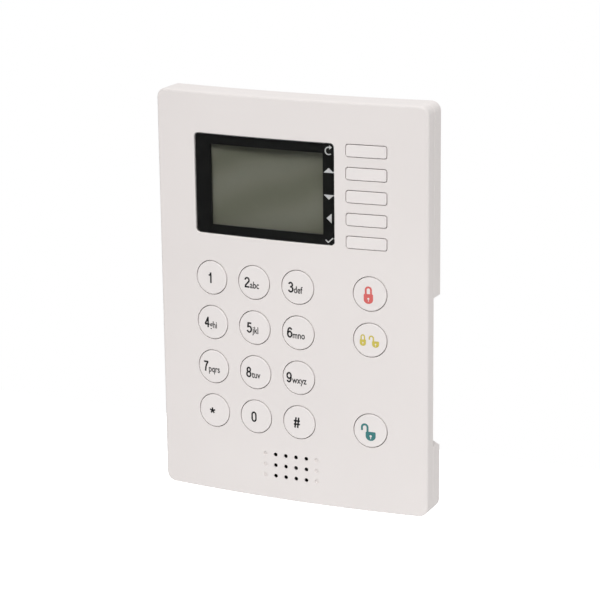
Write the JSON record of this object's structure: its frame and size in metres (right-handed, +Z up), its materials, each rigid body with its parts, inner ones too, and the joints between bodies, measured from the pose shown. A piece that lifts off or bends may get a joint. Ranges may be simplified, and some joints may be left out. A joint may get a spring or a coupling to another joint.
{
  "type": "alarm keypad panel",
  "caption": "Wall-mounted alarm keypad with a bowed white case, display window, round digit and arming keys, soft keys and a sounder grille.",
  "frame": {"origin": "on the wall face, behind the centre of the case", "axes": "+Z up, +Y into the wall, so the front faces -Y and +X is to the right as seen from the front"},
  "size_m": [0.109, 0.0203, 0.155],
  "materials": {
    "white_abs": "fine matte texture",
    "key_plastic": "satin",
    "smoked_acrylic": "polished, black printed border",
    "lcd_cell": "satin polariser",
    "light_guide": "milky",
    "grey_silicone": "matte",
    "black_plastic": "fine matte",
    "board_laminate": "solder mask",
    "capacitor_can": "satin",
    "black_foam": "open foam",
    "terminal_plastic": "moulded",
    "zinc_steel": "bright zinc"
  },
  "bodies": {
    "case": {"front_cover": "white_abs", "rear_housing": "white_abs", "display_window": "smoked_acrylic", "lcd_frame": "black_plastic", "lcd_glass": "lcd_cell", "lcd_backlight": "light_guide", "lcd_connector_strip": "grey_silicone", "keymat": "grey_silicone", "main_board": "board_laminate", "microcontroller": "black_plastic", "buffer_capacitor": "capacitor_can", "sounder": "black_plastic", "sounder_gasket": "black_foam", "terminal_block": "terminal_plastic", "tamper_switch": "black_plastic", "tamper_spring": "zinc_steel", "case_screw": "zinc_steel", "board_screw_1": "zinc_steel", "board_screw_2": "zinc_steel", "board_screw_3": "zinc_steel", "board_screw_4": "zinc_steel", "board_screw_5": "zinc_steel", "board_screw_6": "zinc_steel", "terminal_screw_1": "zinc_steel", "terminal_screw_2": "zinc_steel", "terminal_screw_3": "zinc_steel", "terminal_screw_4": "zinc_steel"},
    "key_1": {"key_1": "key_plastic"},
    "key_2": {"key_2": "key_plastic"},
    "key_3": {"key_3": "key_plastic"},
    "key_4": {"key_4": "key_plastic"},
    "key_5": {"key_5": "key_plastic"},
    "key_6": {"key_6": "key_plastic"},
    "key_7": {"key_7": "key_plastic"},
    "key_8": {"key_8": "key_plastic"},
    "key_9": {"key_9": "key_plastic"},
    "key_star": {"key_star": "key_plastic"},
    "key_0": {"key_0": "key_plastic"},
    "key_hash": {"key_hash": "key_plastic"},
    "key_arm": {"key_arm": "key_plastic"},
    "key_part_arm": {"key_part_arm": "key_plastic"},
    "key_disarm": {"key_disarm": "key_plastic"},
    "soft_key_1": {"soft_key_1": "key_plastic"},
    "soft_key_2": {"soft_key_2": "key_plastic"},
    "soft_key_3": {"soft_key_3": "key_plastic"},
    "soft_key_4": {"soft_key_4": "key_plastic"},
    "soft_key_5": {"soft_key_5": "key_plastic"},
    "tamper_plunger": {"tamper_plunger": "white_abs"}
  },
  "joints": [
    {"name": "key_1_press", "type": "slide", "parent": "case", "child": "key_1", "axis": [0, 1, 0], "range_m": [0, 0.001], "stiffness_N_per_m": 800, "springref_m": -0.0005, "deforming": ["keymat"]},
    {"name": "key_2_press", "type": "slide", "parent": "case", "child": "key_2", "axis": [0, 1, 0], "range_m": [0, 0.001], "stiffness_N_per_m": 800, "springref_m": -0.0005, "deforming": ["keymat"]},
    {"name": "key_3_press", "type": "slide", "parent": "case", "child": "key_3", "axis": [0, 1, 0], "range_m": [0, 0.001], "stiffness_N_per_m": 800, "springref_m": -0.0005, "deforming": ["keymat"]},
    {"name": "key_4_press", "type": "slide", "parent": "case", "child": "key_4", "axis": [0, 1, 0], "range_m": [0, 0.001], "stiffness_N_per_m": 800, "springref_m": -0.0005, "deforming": ["keymat"]},
    {"name": "key_5_press", "type": "slide", "parent": "case", "child": "key_5", "axis": [0, 1, 0], "range_m": [0, 0.001], "stiffness_N_per_m": 800, "springref_m": -0.0005, "deforming": ["keymat"]},
    {"name": "key_6_press", "type": "slide", "parent": "case", "child": "key_6", "axis": [0, 1, 0], "range_m": [0, 0.001], "stiffness_N_per_m": 800, "springref_m": -0.0005, "deforming": ["keymat"]},
    {"name": "key_7_press", "type": "slide", "parent": "case", "child": "key_7", "axis": [0, 1, 0], "range_m": [0, 0.001], "stiffness_N_per_m": 800, "springref_m": -0.0005, "deforming": ["keymat"]},
    {"name": "key_8_press", "type": "slide", "parent": "case", "child": "key_8", "axis": [0, 1, 0], "range_m": [0, 0.001], "stiffness_N_per_m": 800, "springref_m": -0.0005, "deforming": ["keymat"]},
    {"name": "key_9_press", "type": "slide", "parent": "case", "child": "key_9", "axis": [0, 1, 0], "range_m": [0, 0.001], "stiffness_N_per_m": 800, "springref_m": -0.0005, "deforming": ["keymat"]},
    {"name": "key_star_press", "type": "slide", "parent": "case", "child": "key_star", "axis": [0, 1, 0], "range_m": [0, 0.001], "stiffness_N_per_m": 800, "springref_m": -0.0005, "deforming": ["keymat"]},
    {"name": "key_0_press", "type": "slide", "parent": "case", "child": "key_0", "axis": [0, 1, 0], "range_m": [0, 0.001], "stiffness_N_per_m": 800, "springref_m": -0.0005, "deforming": ["keymat"]},
    {"name": "key_hash_press", "type": "slide", "parent": "case", "child": "key_hash", "axis": [0, 1, 0], "range_m": [0, 0.001], "stiffness_N_per_m": 800, "springref_m": -0.0005, "deforming": ["keymat"]},
    {"name": "key_arm_press", "type": "slide", "parent": "case", "child": "key_arm", "axis": [0, 1, 0], "range_m": [0, 0.001], "stiffness_N_per_m": 800, "springref_m": -0.0005, "deforming": ["keymat"]},
    {"name": "key_part_arm_press", "type": "slide", "parent": "case", "child": "key_part_arm", "axis": [0, 1, 0], "range_m": [0, 0.001], "stiffness_N_per_m": 800, "springref_m": -0.0005, "deforming": ["keymat"]},
    {"name": "key_disarm_press", "type": "slide", "parent": "case", "child": "key_disarm", "axis": [0, 1, 0], "range_m": [0, 0.001], "stiffness_N_per_m": 800, "springref_m": -0.0005, "deforming": ["keymat"]},
    {"name": "soft_key_1_press", "type": "slide", "parent": "case", "child": "soft_key_1", "axis": [0, 1, 0], "range_m": [0, 0.001], "stiffness_N_per_m": 800, "springref_m": -0.0005, "deforming": ["keymat"]},
    {"name": "soft_key_2_press", "type": "slide", "parent": "case", "child": "soft_key_2", "axis": [0, 1, 0], "range_m": [0, 0.001], "stiffness_N_per_m": 800, "springref_m": -0.0005, "deforming": ["keymat"]},
    {"name": "soft_key_3_press", "type": "slide", "parent": "case", "child": "soft_key_3", "axis": [0, 1, 0], "range_m": [0, 0.001], "stiffness_N_per_m": 800, "springref_m": -0.0005, "deforming": ["keymat"]},
    {"name": "soft_key_4_press", "type": "slide", "parent": "case", "child": "soft_key_4", "axis": [0, 1, 0], "range_m": [0, 0.001], "stiffness_N_per_m": 800, "springref_m": -0.0005, "deforming": ["keymat"]},
    {"name": "soft_key_5_press", "type": "slide", "parent": "case", "child": "soft_key_5", "axis": [0, 1, 0], "range_m": [0, 0.001], "stiffness_N_per_m": 800, "springref_m": -0.0005, "deforming": ["keymat"]},
    {"name": "tamper_plunger_press", "type": "slide", "parent": "case", "child": "tamper_plunger", "axis": [0, -1, 0], "range_m": [0, 0.001], "stiffness_N_per_m": 300, "springref_m": -0.001, "deforming": ["tamper_spring"]}
  ]
}
